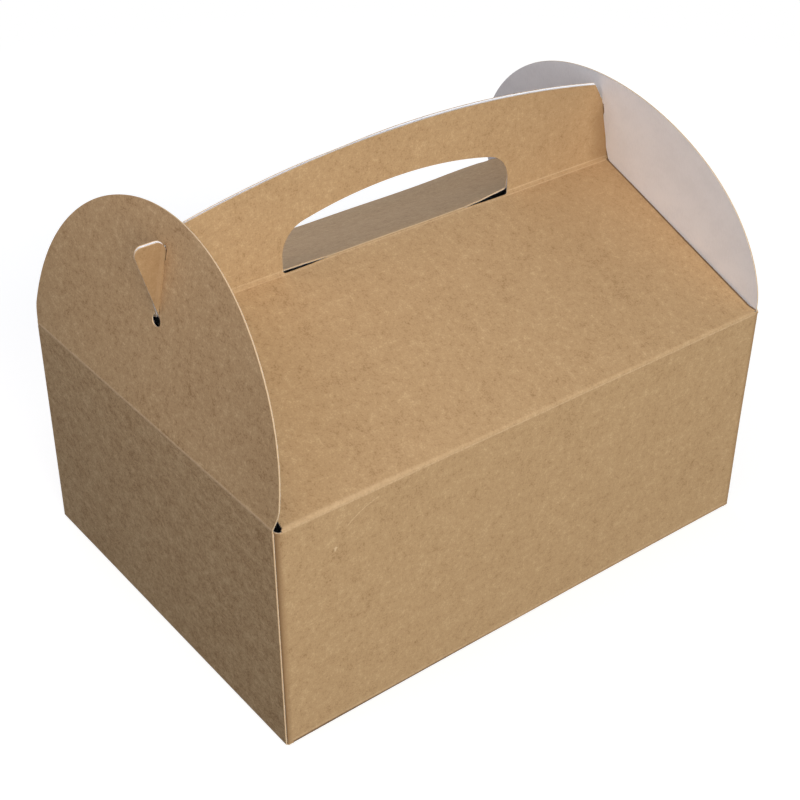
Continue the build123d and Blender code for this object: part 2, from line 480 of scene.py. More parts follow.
    def ridge_shift(self, spots):
        """Ridge folds closed at the hole's middle, parted at its ends and raised behind its right end."""
        sizes, past = self.sizes, spots.past_ridge
        half = sizes.hole_length / 2
        fade_above, fade_below, fade_rise = 9 * MM, 26 * MM, 5 * MM
        fade = hump(past, 0, np.where(past > 0, fade_above, fade_below))
        spread = sizes.hole_spread * hump(spots.wide, half, 10 * MM)
        touch = sizes.hole_touch * ramp(spots.wide, half - 8 * MM, half - 24 * MM)
        at_end = share(spots.u, 39.6 * MM, 51.6 * MM) * ramp(spots.u, 74 * MM, 54 * MM)
        rise = spots.back * sizes.hole_rise * at_end * hump(past, 0, fade_rise)
        return 0, spots.face * fade * (spread - touch) + 0.6 * rise, rise

    def handle_shift(self, spots):
        """Back handle panel sprung out and raised, with its fins raised and drawn in."""
        sizes = self.sizes
        up_handle = share(spots.far, self.ridge_v, self.strip.total)
        reach = (self.handle_end(sizes.left_lean) + self.handle_end(sizes.right_lean)) / 2
        free = np.clip(1 - ((spots.u - self.handle_middle) / (reach + 2 * MM)) ** 16, 0, 1)
        held = 1 - 1.1 * hump(spots.u, -27 * MM, 14 * MM)
        spring = sizes.handle_spring * up_handle**2 * free * held
        tilt = 1 + 1.2 * spots.u / self.half_length
        step = sizes.handle_step * tilt * held * ramp(spots.past_ridge, 0, 6 * MM)
        step = step + sizes.fin_step * spots.outside
        tuck = np.sign(spots.u) * sizes.fin_tuck * spots.outside
        return -tuck * spots.back, spring * spots.back, step * spots.back

    def back_shift(self, spots):
        """Back eave lifted between its ends, and the back roof panel swollen at its right."""
        sizes = self.sizes
        near_eave = ramp(np.abs(spots.far - self.eave_v), self.eave_v / 4, 0)
        off_corner = ramp(spots.wide, self.corner_start, self.corner_start - 5 * MM)
        loose = np.maximum(off_corner, ramp(spots.far, self.eave_v, self.eave_v + 8 * MM))
        lift = spots.back * sizes.back_lift * near_eave * loose
        bulge = sizes.back_bulge * np.sin(math.pi * spots.roof**0.6) * ramp(spots.u, 50 * MM, 100 * MM)
        return 0, 0.7 * lift, lift + spots.back * bulge * loose

    def fin_shift(self, spots):
        """Front fins bent out at their roots."""
        root = hump(spots.height, self.fin_base + 8 * MM, 8 * MM) * spots.on_handle
        at_slot = hump(spots.past_flap, 0, 4 * MM)
        return 0, -self.sizes.fin_bulge * root * at_slot * spots.front, 0

    def end_shift(self, spots):
        """Right end wall leaning out at its top, and the long walls spread at the ends of the base."""
        sizes = self.sizes
        below_eave = share(spots.far, self.eave_v + 3 * MM, self.eave_v)
        flare = sizes.right_flare * ramp(spots.u, 60 * MM, 105 * MM) * below_eave
        low = share(spots.far, self.base_v - 5 * MM, self.base_v) * (1 - spots.wall)
        bow = sizes.base_bow * low * share(spots.wide, 0, self.half_length) ** 2
        return flare * share(spots.height, 0, sizes.wall_height), spots.face * bow, 0


class Spots:
    """Places on the blank, with the panel each lies on and its distance past the folds."""

    def __init__(self, layout, blank, place):
        sizes = layout.sizes
        self.blank, self.height = blank, place[:, 2]
        self.u, self.v = blank[:, 0], blank[:, 1]
        self.wide, self.far = np.abs(self.u), np.abs(self.v)
        self.front, self.back = self.v < 0, self.v > 0
        self.face = np.where(self.front, -1.0, 1.0)
        self.wall = share(self.far, layout.base_v, layout.eave_v)
        self.roof = share(self.far, layout.eave_v, layout.ridge_v)
        self.past_ridge = self.far - layout.ridge_v
        self.on_handle = self.past_ridge > 0
        lean = np.where(self.u < 0, math.tan(sizes.left_lean), math.tan(sizes.right_lean))
        self.past_flap = self.wide - (layout.half_length - (self.height - sizes.wall_height) * lean)
        self.outside = ramp(self.past_flap, 0, 6 * MM) * self.on_handle


def share(value, start, end):
    """How far a value has come from start to end, from 0 to 1."""
    return np.clip((value - start) / (end - start), 0, 1)


def ramp(value, start, end):
    """The same share, eased at both ends."""
    part = share(value, start, end)
    return part * part * (3 - 2 * part)


def hump(value, middle, width):
    """1 at the middle, fading to both sides over a width."""
    return np.exp(-(((value - middle) / width) ** 2))


def ripple(blank, height):
    """Faint long waves of a sheet of board."""
    u, v = blank[:, 0] / MM, blank[:, 1] / MM
    waves = np.sin(u / 9.7 + v / 17.3) + np.sin(v / 11.9 - u / 23.1 + 1.3) + np.sin(u / 31.0 + v / 37.0 + 4.1)
    return height * waves


class FlapLayout:
    """Cut edges of one end flap; a place on it is (distance up from the crease, across)."""

    def __init__(self, layout, side):
        self.layout, self.side = layout, side
        self.sizes, self.lean = layout.sizes, layout.lean(side)

    def half_at(self, up, face=-1):
        """Distance from the middle to the arch's front or back edge, which narrows to its end wall."""
        sizes = self.sizes
        inset = sizes.left_foot if self.side < 0 else sizes.right_foot
        narrowed = (inset + sizes.arch_overhang) * max(0, 1 - up / sizes.arch_taper) ** 1.5
        if self.side > 0 and face > 0:
            narrowed = sizes.back_cut * max(0, 1 - up / sizes.back_cut_height) ** 0.8
        return self.layout.half_width + sizes.arch_overhang - narrowed

    def arch_edge(self):
        """Outline of the arch above its creased strip."""
        sizes = self.sizes
        rise = sizes.arch_height - sizes.arch_shoulder
        turns = np.concatenate([np.linspace(0, 0.3, 40), np.linspace(0.31, math.pi / 2, 80)])
        ups = [sizes.arch_shoulder + rise * math.sin(t) for t in turns]
        edges = []
        for face in (1, -1):
            foot = (sizes.crease_reach, face * self.half_at(sizes.crease_reach, face))
            curve = [(up, face * self.half_at(up, face) * math.cos(t)) for up, t in zip(ups, turns)]
            edges.append([foot] + curve)
        back, front = edges
        return back[:-1] + front[::-1]

    def slot_edge(self):
        """Outline of the slot that the fins stand in, with its wider round foot."""
        sizes, layout = self.sizes, self.layout
        foot = (layout.fin_base - sizes.wall_height) / math.cos(self.lean) - sizes.slot_foot_drop
        corner = sizes.fin_inner_corner
        hook = layout.half_length - layout.hook_inside(self.lean) - corner
        top = math.hypot(hook, layout.fin_top - corner - sizes.wall_height) + corner + sizes.slot_end_gap
        half, radius = sizes.slot_half_width, sizes.slot_foot_radius
        flare, wide = 6 * radius, 1.3
        swing = wide * radius - half
        side = [(foot + flare * t, half + swing * (1 - t) ** 2) for t in np.linspace(0.12, 1, 12)]
        start = math.atan2(side[0][1] / wide, side[0][0] - foot)
        foot_radius = math.hypot(side[0][1] / wide, side[0][0] - foot)
        round_foot = arc((foot, 0), foot_radius, start, math.tau - start, 0.4 * MM)
        round_foot = [(up, across * wide) for up, across in round_foot]
        round_top = arc((top - half, 0), half, -math.pi / 2, math.pi / 2, 0.3 * MM)
        eased = half + sizes.slot_ease
        ease = [(top - 6 * MM, -half), (top - 4.5 * MM, -eased), (top - 1 * MM, -eased)]
        return round_foot + [(up, -across) for up, across in side[1:]] + ease + round_top + side[:0:-1]

    def fold(self, blank):
        """Positions and outward normals of places on the flap."""
        up, across = blank[:, 0], blank[:, 1]
        lean, side = self.lean, self.side
        out = self.layout.half_length - up * math.sin(lean)
        place = np.stack([side * out, across, self.sizes.wall_height + up * math.cos(lean)], axis=1)
        normal = np.array([side * math.cos(lean), 0, math.sin(lean)])
        outward = np.repeat(normal[None, :], len(up), axis=0)
        cup, twist, bow = self.sizes.left_warp if side < 0 else self.sizes.right_warp
        rise = (up - self.sizes.crease_reach) / (self.sizes.arch_height - self.sizes.crease_reach)
        wide = across / self.layout.half_width
        bent = rise * (cup * wide**2 - twist * wide - bow * rise) + ripple(blank, self.sizes.ripple) * rise
        return place + outward * bent[:, None], outward

    def crease_edge(self):
        """Outline of the creased strip, as (distance along the strip, across)."""
        reach = self.sizes.crease_reach
        low, high, back = self.half_at(0), self.half_at(reach), self.half_at(reach, 1)
        return [(-reach, -low), (reach, -high), (reach, back), (-reach, low)]

    def fold_crease(self, blank):
        """Positions and outward normals of places on the creased strip."""
        reach, lean = self.sizes.crease_reach, self.lean
        out, height = self.layout.half_length, self.sizes.wall_height
        top = (out - reach * math.sin(lean), height + reach * math.cos(lean))
        flare = self.sizes.right_flare * (1 - reach / height) if self.side > 0 else 0.0
        corners = [(out + flare, height - reach), (out + flare / 2, height), top]
        path = FoldPath(corners, [3 * self.sizes.board])
        part = (blank[:, 0] + reach) / (2 * reach)
        along, normal = path.at(part * path.total)
        place = np.stack([self.side * along[:, 0], blank[:, 1], along[:, 1]], axis=1)
        return place, np.stack([self.side * normal[:, 0], 0 * part, normal[:, 1]], axis=1)


# Mesh of a sheet

def stations(low, high, step, folds=(), fine=None, reach=2 * MM):
    """Grid lines between two places, closer together across the folds."""
    places = list(np.linspace(low, high, max(2, round((high - low) / step) + 1)))
    for fold in folds:
        places = [place for place in places if abs(place - fold) > reach]
        places += list(np.arange(fold - reach, fold + reach, fine))
    return np.array(sorted(places))


def refine(loop, step, fold_step, near_fold=None):
    """A closed outline with points along its long edges, closer together at the folds."""
    refined = []
    for start, end in zip(loop, loop[1:] + loop[:1]):
        start, end = np.array(start, float), np.array(end, float)
        count = max(1, int(np.linalg.norm(end - start) / fold_step))
        kept = start
        refined.append(start)
        for part in np.arange(1, count) / count:
            point = start + (end - start) * part
            gap = fold_step if near_fold and near_fold(point) else step
            if np.linalg.norm(point - kept) >= gap * 0.95 and np.linalg.norm(end - point) >= gap / 2:
                refined.append(point)
                kept = point
    return np.array(refined)


def inside(points, loop):
    """Which points lie inside a closed outline."""
    hit = np.zeros(len(points), bool)
    x, y = points[:, 0], points[:, 1]
    for (ax, ay), (bx, by) in zip(loop, np.roll(loop, -1, axis=0)):
        if ay != by:
            crosses = (ay > y) != (by > y)
            hit ^= crosses & (x < (bx - ax) * (y - ay) / (by - ay) + ax)
    return hit


def lattice(columns, rows):
    """Every crossing of two sets of grid lines."""
    return np.stack(np.meshgrid(columns, rows), axis=-1).reshape(-1, 2)


def triangulate(outline, holes, grid):
    """Triangles over an outline with holes, through the grid points inside it."""
    loops = [outline] + holes
    edge_points = np.vstack(loops)
    tree = KDTree(len(edge_points))
    for index, point in enumerate(edge_points):
        tree.insert((point[0], point[1], 0), index)
    tree.balance()
    keep = inside(grid, outline)
    for hole in holes:
        keep &= ~inside(grid, hole)
    clear = [p for p in grid[keep] if tree.find((p[0], p[1], 0))[2] > 0.25 * MM]
    points = np.vstack([edge_points, clear]) / MM
    edges, first = [], 0
    for loop in loops:
        count = len(loop)
        edges += [(first + i, first + (i + 1) % count) for i in range(count)]
        first += count
    result = delaunay_2d_cdt([Vector(p) for p in points], edges, [], 0, 1e-5)
    flat = np.array([p[:] for p in result[0]]) * MM
    triangles = np.array(result[2])
    middle = flat[triangles].mean(axis=1)
    keep = inside(middle, outline)
    for hole in holes:
        keep &= ~inside(middle, hole)
    triangles = triangles[keep]
    first, second, third = (flat[triangles[:, i]] for i in range(3))
    area = np.cross(second - first, third - first)
    triangles[area < 0] = triangles[area < 0][:, ::-1]
    return flat, triangles


def board_mesh(name, blank, triangles, fold, shift, board, finishes):
    """A sheet of board with its kraft face, its lining and its cut edges.

    The attribute sheet keeps each point's place on the blank and its depth in the board.
    """
    outer, outward = fold(blank)
    inner = outer - outward * board
    count = len(blank)
    steps = np.vstack([triangles[:, [0, 1]], triangles[:, [1, 2]], triangles[:, [2, 0]]])
    known = {tuple(step) for step in steps.tolist()}
    rim = [step for step in known if (step[1], step[0]) not in known]
    faces = triangles[:, ::-1].tolist() + (triangles + count).tolist()
    faces += [(a, b, b + count, a + count) for a, b in sorted(rim)]
    mesh = bpy.data.meshes.new(name)
    mesh.from_pydata(np.vstack([outer, inner]).tolist(), [], faces)
    slots = [0] * len(triangles) + [1] * len(triangles) + [2] * len(rim)
    mesh.polygons.foreach_set("material_index", slots)
    flat = np.zeros((2 * count, 3))
    flat[:, :2] = np.vstack([blank, blank]) + shift
    flat[count:, 2] = board
    sheet = mesh.attributes.new("sheet", "FLOAT_VECTOR", "POINT")
    sheet.data.foreach_set("vector", flat.ravel())
    for finish in finishes:
        mesh.materials.append(finish)
    mesh.shade_smooth()
    mesh.set_sharp_from_angle(angle=math.radians(35))
    piece = bpy.data.objects.new(name, mesh)
    bpy.context.scene.collection.objects.link(piece)
    return piece


# Materials

class Socket:
    """A number in a material; arithmetic on it adds Math nodes."""

    def __init__(self, finish, output):
        self.finish, self.output = finish, output

    def __add__(self, other):
        return self.finish.math("ADD", self, other)

    def __sub__(self, other):
        return self.finish.math("SUBTRACT", self, other)

    def __rsub__(self, other):
        return self.finish.math("SUBTRACT", other, self)

    def __mul__(self, other):
        return self.finish.math("MULTIPLY", self, other)

    def __truediv__(self, other):
        return self.finish.math("DIVIDE", self, other)

    def __abs__(self):
        return self.finish.math("ABSOLUTE", self)

    __radd__ = __add__
    __rmul__ = __mul__


class Finish:
    """One material or world, built node by node."""

    def __init__(self, owner):
        owner.use_nodes = True
        self.owner, self.tree = owner, owner.node_tree
        self.tree.nodes.clear()

    def node(self, kind, settings=None, sockets=None):
        """A node with its settings, then the values or links of its sockets."""
        node = self.tree.nodes.new(kind)
        for key, value in (settings or {}).items():
            setattr(node, key, value)
        for key, value in (sockets or {}).items():
            if isinstance(value, Socket):
                self.tree.links.new(value.output, node.inputs[key])
            else:
                node.inputs[key].default_value = value
        return node

    def out(self, node, key=0):
        """An output of a node, ready for arithmetic."""
        return Socket(self, node.outputs[key])

    def math(self, operation, *values):
        return self.out(self.node("ShaderNodeMath", {"operation": operation}, dict(enumerate(values))))

    def most(self, first, *others):
        """The largest of several numbers."""
        for other in others:
            first = self.math("MAXIMUM", first, other)
        return first

    def sheet(self):
        """Place on the blank in millimetres, with the depth in the board as its third part."""
        place = self.out(self.node("ShaderNodeAttribute", {"attribute_name": "sheet"}), "Vector")
        scaled = self.node("ShaderNodeVectorMath", {"operation": "SCALE"}, {0: place, "Scale": 1 / MM})
        return self.out(scaled)

    def split(self, vector):
        node = self.node("ShaderNodeSeparateXYZ", None, {0: vector})
        return [self.out(node, axis) for axis in range(3)]

    def stretched(self, vector, turn, along, across):
        """A place turned in the sheet and measured in lengths along and across the fibres."""
        values = {0: vector, "Rotation": (0, 0, turn), "Scale": (1 / along, 1 / across, 1)}
        return self.out(self.node("ShaderNodeMapping", {"vector_type": "POINT"}, values))

    def noise(self, vector, spacing, detail=2.0, roughness=0.5, distortion=0.0):
        values = {"Vector": vector, "Scale": 1 / spacing, "Detail": detail}
        values.update({"Roughness": roughness, "Distortion": distortion})
        return self.out(self.node("ShaderNodeTexNoise", {"noise_dimensions": "2D"}, values))

    def step(self, value, low, high):
        """Smooth rise from 0 at low to 1 at high."""
        values = {"Value": value, "From Min": low, "From Max": high}
        return self.out(self.node("ShaderNodeMapRange", {"interpolation_type": "SMOOTHSTEP"}, values))

    def stroke(self, across, up, start, end, sag, width):
        """A thin curved mark from start to end, 1 along its middle."""
        dx, dy = end[0] - start[0], end[1] - start[1]
        length = math.hypot(dx, dy)
        along = ((across - start[0]) * dx + (up - start[1]) * dy) / length**2
        aside = ((up - start[1]) * dx - (across - start[0]) * dy) / length
        bowed = aside - along * (1 - along) * (4 * sag)
        return self.step(abs(bowed), width, width * 0.25) * self.step(abs(along - 0.5), 0.5, 0.4)

    def mix(self, factor, first, second):
        settings = {"data_type": "RGBA", "clamp_factor": True}
        return self.out(self.node("ShaderNodeMix", settings, {0: factor, 6: first, 7: second}), 2)

    def layers(self, colour, *coats):
        """A colour under coats of paint, each a factor and a colour property."""
        for factor, coat in coats:
            colour = self.mix(factor, colour, opaque(coat))
        return colour

    def bump(self, height, strength, depth):
        node = self.node("ShaderNodeBump", None, {"Height": height, "Strength": strength, "Distance": depth})
        return self.out(node)

    def surface(self, **values):
        """Principled shader from sockets named with underscores, joined to the output."""
        sockets = {key.replace("_", " "): value for key, value in values.items()}
        shader = self.out(self.node("ShaderNodeBsdfPrincipled", None, sockets))
        self.node("ShaderNodeOutputMaterial", None, {"Surface": shader})
        return self.owner


def opaque(colour):
    """A colour property with full alpha, as sockets take it."""
    return (*colour, 1.0)


class KraftFace(Finish):
    """Brown kraft face of the board. Its masks are measured in millimetres on the blank."""

    def __init__(self, layout, colours):
        super().__init__(bpy.data.materials.new("kraft_face"))
        self.layout, self.colours = layout, colours
        self.u, self.v, _ = self.split(self.sheet())
        self.wide, self.far = abs(self.u), abs(self.v)
        self.base, self.eave, self.ridge = (fold / MM for fold in layout.strip.folds)
        self.corner, self.corner_start = layout.corner.folds[0] / MM, layout.corner_start / MM
        self.end_fold, self.end_top = layout.end.folds[0] / MM, layout.end.total / MM
        on_end = self.step(self.wide, self.end_fold, self.end_fold + 1)
        place = self.node("ShaderNodeCombineXYZ", None, {0: self.u, 1: self.v * (1 - on_end * 0.2)})
        self.place = self.out(place)
        self.mottle = self.noise(self.place, 1.9, 4, 0.65)
        self.grain = self.noise(self.place, 0.62, 2, 0.6)
        self.fibres = self.noise(self.stretched(self.place, 0.15, 0.8, 1.3), 1, 3, 0.65, 0.6)
        self.broken = self.step(self.noise(self.place, 0.9, 3, 0.7), 0.36, 0.62)
        self.on_right = self.step(self.u, -1, 1)
        self.up_fin, self.past_flap = self.fin_place()

    def build(self):
        """The finished material."""
        colours = self.colours
        root, on_fin, neck, handle_end_shade = self.fin_masks()
        marks, nick, nick_shadow = self.marks()
        worn = self.most(self.worn_folds(), root, marks)
        roof_end_shade, under, corner_shade = self.gaps()
        # Painted shade: the roof and handle darken toward the right.
        right_shade = self.step(self.u, 20, 95) * self.step(self.far, self.eave, self.ridge + 10)
        # Painted shade coats below: over the right of the roof and handle, at the handle's right end, in the
        # gaps, beside the nick and in the upright corners.
        colour = self.layers(
            self.fibre_colour(),
            (worn, colours.worn),
            (nick, colours.core),
            (on_fin * 0.42, colours.dark_fibre_and_shade),
            (right_shade * 0.3, colours.dark_fibre_and_shade),
            (handle_end_shade * 0.75, colours.dark_fibre_and_shade),
            (self.most(roof_end_shade, neck, under) * 0.9, colours.shade),
            (nick_shadow * 0.7, colours.dark_fibre_and_shade),
            (corner_shade * 0.9, colours.dark_fibre_and_shade),
        )
        rough = 0.8 - (self.mottle - 0.5) * 0.25 + worn * 0.08
        height = self.mottle * 0.5 + self.fibres * 0.3 + self.grain * 0.4
        raised = self.bump(height, 0.3, 0.06 * MM)
        return self.surface(Base_Color=colour, Roughness=rough, Normal=raised, Specular_IOR_Level=0.3)

    def fibre_colour(self):
        """Cloudy tone, short fibres, dark flecks and pale hairs, stronger on the end walls."""
        colours = self.colours
        cloud = self.noise(self.place, 24, 3)
        patches = self.noise(self.place, 5.5, 3, 0.6)
        weights = ((patches, 0.65), (self.mottle, 0.9), (self.fibres, 0.25), (self.grain, 0.95))
        uneven = (cloud - 0.5) * 0.25
        for field, weight in weights:
            uneven = uneven + (field - 0.5) * weight
        # The mottle is the board's own. Its extra contrast on the end walls is painted light and shade,
        # standing in for the grain's shading under grazing light.
        contrast = 0.85 + self.step(self.wide, self.end_fold, self.end_fold + 2) * 0.6
        contrast = contrast - self.step(self.wide, self.end_top, self.end_top + 3) * 0.4
        tone = 0.5 + uneven * contrast
        flecks = self.noise(self.stretched(self.place, 0.5, 1.1, 0.55), 1, 1)
        hairs = self.noise(self.stretched(self.place, 0.9, 5.0, 3.0), 1, 1, 0.5, 2.0)
        hairs = self.step(abs(hairs - 0.5), 0.011, 0.0) * self.step(self.mottle, 0.52, 0.64)
        return self.layers(
            opaque(colours.kraft),
            (self.step(tone, 0.5, 0.0) * 0.85, colours.dark_fibre_and_shade),
            (self.step(tone, 0.5, 1.0) * 0.75, colours.kraft_light),
            (self.step(flecks, 0.75, 0.83) * 0.45, colours.dark_fibre_and_shade),
            (hairs * 0.4, colours.kraft_light),
        )

    def worn_folds(self):
        """Pale broken fibres along the folds; the front eave is rubbed wider at its left."""
        broken = self.broken
        rubbed = self.step(self.u, -30, -75)
        eave_gap = abs(self.far - self.eave) / (0.6 + rubbed * 0.6)
        eave = self.step(eave_gap, 1.4, 0.4) * (0.12 + broken * 0.18 + rubbed * 0.2)
        line = self.step(abs(self.far - self.eave + 0.9), 0.45, 0.15) * (0.3 + broken * 0.5)
        ridge_wear = 0.15 + broken * 0.4 + self.step(self.u, 45, 55) * 0.3
        ridge = self.step(abs(abs(self.far - self.ridge) - 0.85), 0.4, 0.1) * ridge_wear
        crease = self.step(abs(self.wide - self.end_top), 0.75, 0.2) * (0.5 + broken * 0.5)
        base = self.step(abs(self.far - self.base - 1.6), 0.5, 0.2) * (0.15 + broken * 0.4)
        upright = self.step(abs(self.wide - self.corner), 1.1, 0.2) * broken * 0.35
        return self.most(eave, line, ridge, crease, base, upright)

    def fin_place(self):
        """Distance up from the foot of the fins, and out past the end flaps there."""
        layout = self.layout
        up = self.far - layout.v_at(layout.fin_base) / MM
        leans = layout.lean(-1), layout.lean(1)
        left, right = (layout.flap_outside(layout.fin_base, lean) / MM for lean in leans)
        left_slope, right_slope = (math.tan(lean) for lean in leans)
        slope = left_slope + self.on_right * (right_slope - left_slope)
        return up, self.wide - (left + self.on_right * (right - left) - up * slope)

    def fin_masks(self):
        """Pale root and darker tone of the fins, painted shade in the left neck and painted shade toward the
        handle's right end.
        """
        up, past = self.up_fin, self.past_flap
        root = self.step(abs(past - 1.9), 1.0, 0.4) * self.step(up, 0, 3) * 0.4
        on_fin = self.step(past, 0, 2) * self.step(up, -0.5, 0.5)
        # Painted shade on the handle in the slit beside the left neck.
        neck = self.step(abs(past + 0.4), 1.2, 0.6) * self.step(abs(up - 22), 5, 3) * (1 - self.on_right)
        # Painted shade toward the handle's right end, beside the right arch.
        handle_end_shade = self.step(past, -13, -1) * self.on_right * self.step(up, 28, 14) * self.step(up, -3, 2)
        return root, on_fin, neck, handle_end_shade

    def marks(self):
        """Scratch and nick at the top of the front wall, with painted shadow beside the nick, and rubs on the
        left end wall.
        """
        layout, height = self.layout, self.layout.sizes.wall_height
        front = (0 - self.v) - (layout.v_at(height / 2) - height / 2) / MM
        scratch = self.stroke(self.u, front, (-83.6, 81.4), (-69.3, 88.0), 1.1, 0.36)
        nick = self.stroke(self.u, front, (-88.2, 74.2), (-87.2, 75.6), 0.2, 0.7)
        # Painted shadow cast by the raised nick.
        nick_shadow = self.stroke(self.u, front, (-89.2, 74.1), (-88.2, 75.0), 0.1, 0.6)
        faint = self.stroke(self.u, front, (-77.6, 75.0), (-76.6, 76.4), 0.1, 0.3)
        end = (0 - self.u) - (layout.end.total - height) / MM
        rub = self.stroke(self.v, end, (-4.8, 38.6), (-1.2, 40.4), 0.1, 0.35)
        chip = self.stroke(self.v, end, (-72.5, 4.0), (-70.3, 4.6), 0.0, 0.35)
        scratch = scratch * (0.3 + self.broken * 0.5)
        return self.most(scratch, nick, faint * 0.35, rub * 0.35, chip * 0.5), nick, nick_shadow

    def gaps(self):
        """Painted shade along the right roof end, under the front wall and in the upright corners."""
        layout, sizes = self.layout, self.layout.sizes
        low, high = sizes.wall_height + 3 * MM, sizes.ridge_height - 3 * MM
        low_v, high_v = layout.v_at(low) / MM, layout.v_at(high) / MM
        low_end, high_end = (layout.flap_inside(z, layout.lean(1)) / MM - 0.5 for z in (low, high))
        end = low_end + (self.far - low_v) * ((high_end - low_end) / (high_v - low_v))
        # Painted shade: dark line where the right roof end meets its flap.
        roof_end_shade = self.step(end - self.u, 1.1, 0.5) * self.step(self.u, 90, 95)
        roof_end_shade = roof_end_shade * self.between(self.eave, self.ridge)
        on_front = self.step(self.wide, self.corner_start, self.corner_start - 0.5)
        # Painted shade: contact shadow under the front wall's base fold, stronger at the left.
        under = self.step(abs(self.far - self.base + 0.6), 1.6, 1.3) * on_front
        under = under * (0.25 + self.step(self.u, 0, -45) * 0.75)
        # Painted shade in the upright corner folds behind the end walls' raw edges.
        corner_shade = self.step(self.wide, self.corner - 2.2, self.corner + 0.8)
        return roof_end_shade, under, corner_shade * self.between(self.base, self.eave)

    def between(self, low, high):
        """1 on the panels between two folds."""
        return self.step(self.far, low, low + 1) * self.step(self.far, high, high - 1)


def lining_finish(colours):
    """White inside of the board: clay coating with a faint cloud and a few fibres showing through."""
    lining = Finish(bpy.data.materials.new("white_lining"))
    sheet = lining.sheet()
    cloud = lining.noise(sheet, 14, 4, 0.6)
    grain = lining.noise(lining.stretched(sheet, 0.1, 2.2, 0.6), 1, 3, 0.6)
    shade = lining.step(cloud * 0.6 + grain * 0.4, 0.38, 0.66)
    colour = lining.mix(shade, opaque(colours.lining), opaque(colours.lining_dark))
    rough = 0.55 + (grain - 0.5) * 0.3
    raised = lining.bump(grain, 0.15, 0.04 * MM)
    return lining.surface(Base_Color=colour, Roughness=rough, Normal=raised, Specular_IOR_Level=0.35)


def edge_finish(layout, colours):
    """Cut edge: a brown ply outside, a pale core and the white lining."""
    edge = Finish(bpy.data.materials.new("cut_edge"))
    sheet = edge.sheet()
    u, v, depth = edge.split(sheet)
    depth = depth / (layout.sizes.board / MM)
    nicks = edge.noise(sheet, 0.8, 3, 0.6)
    brown = edge.step(depth + (nicks - 0.5) * 0.3, 0.2, 0.02)
    white = edge.step(depth + (nicks - 0.5) * 0.3, 0.85, 1.0)
    colour = edge.mix(brown * 0.6, opaque(colours.core), opaque(colours.kraft_light))
    colour = edge.mix(white, colour, opaque(colours.lining))
    # Painted shade on the handle's left cut edge, where it shows through the slit behind the left flap.
    painted_edge_shade = edge.step(u, -88, -90) * edge.step(abs(v), layout.ridge_v / MM, layout.ridge_v / MM + 2)
    end_line = layout.flap_inside(layout.fin_neck, layout.lean(-1)) / MM + 1.2
    colour = edge.mix(painted_edge_shade * edge.step(u, -end_line - 0.1, -end_line) * 0.9, colour, opaque(colours.shade))
    rough = 0.85 - (nicks - 0.5) * 0.2
    return edge.surface(Base_Color=colour, Roughness=rough, Normal=edge.bump(nicks, 0.4, 0.05 * MM))


def board_finishes(layout, colours):
    """The three finishes of the board, made once and shared by all pieces."""
    names = ("kraft_face", "white_lining", "cut_edge")
    if names[0] not in bpy.data.materials:
        KraftFace(layout, colours).build()
        lining_finish(colours)
        edge_finish(layout, colours)
    return [bpy.data.materials[name] for name in names]


# Operators

class CARTON_OT_fold_sheet(Operator):
    """Fold the blank: base, walls, glue flaps, roof panels and the double handle"""

    bl_idname = "carton.fold_sheet"
    bl_label = "Fold sheet"

    def execute(self, context):
        sizes = context.scene.carton_sizes
        layout = Layout(sizes)
        folds_u = (layout.corner.folds[0], layout.end.folds[0])
        folds_v = layout.strip.folds
        reach = 2 * MM

        def near_fold(point):
            pairs = zip(np.abs(point), (folds_u, folds_v))
            return any(abs(place - fold) < reach for place, folds in pairs for fold in folds)

        columns = stations(0, layout.end.total, sizes.mesh_step, folds_u, sizes.fold_step, reach)
        rows = stations(0, layout.strip.total, sizes.mesh_step, folds_v, sizes.fold_step, reach)
        columns = np.concatenate([-columns[:0:-1], columns])
        rows = np.concatenate([-rows[:0:-1], rows])
        grid = lattice(columns, rows)
        outline = refine(layout.blank_edge(), sizes.mesh_step, sizes.fold_step, near_fold)
        hole = layout.hand_hole()
        back_hole = [(u + sizes.hole_shift if u > 0 else u, v) for u, v in hole]
        holes = [
            refine(loop, sizes.mesh_step, sizes.fold_step, near_fold)
            for loop in (back_hole, [(u, -v) for u, v in hole])
        ]
        blank, triangles = triangulate(outline, holes, grid)
        finishes = board_finishes(layout, context.scene.carton_colours)
        sheet = board_mesh("folded_sheet", blank, triangles, layout.fold_blank, (0, 0), sizes.board, finishes)
        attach(sheet, "carton")
        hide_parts("carton")
        return {"FINISHED"}


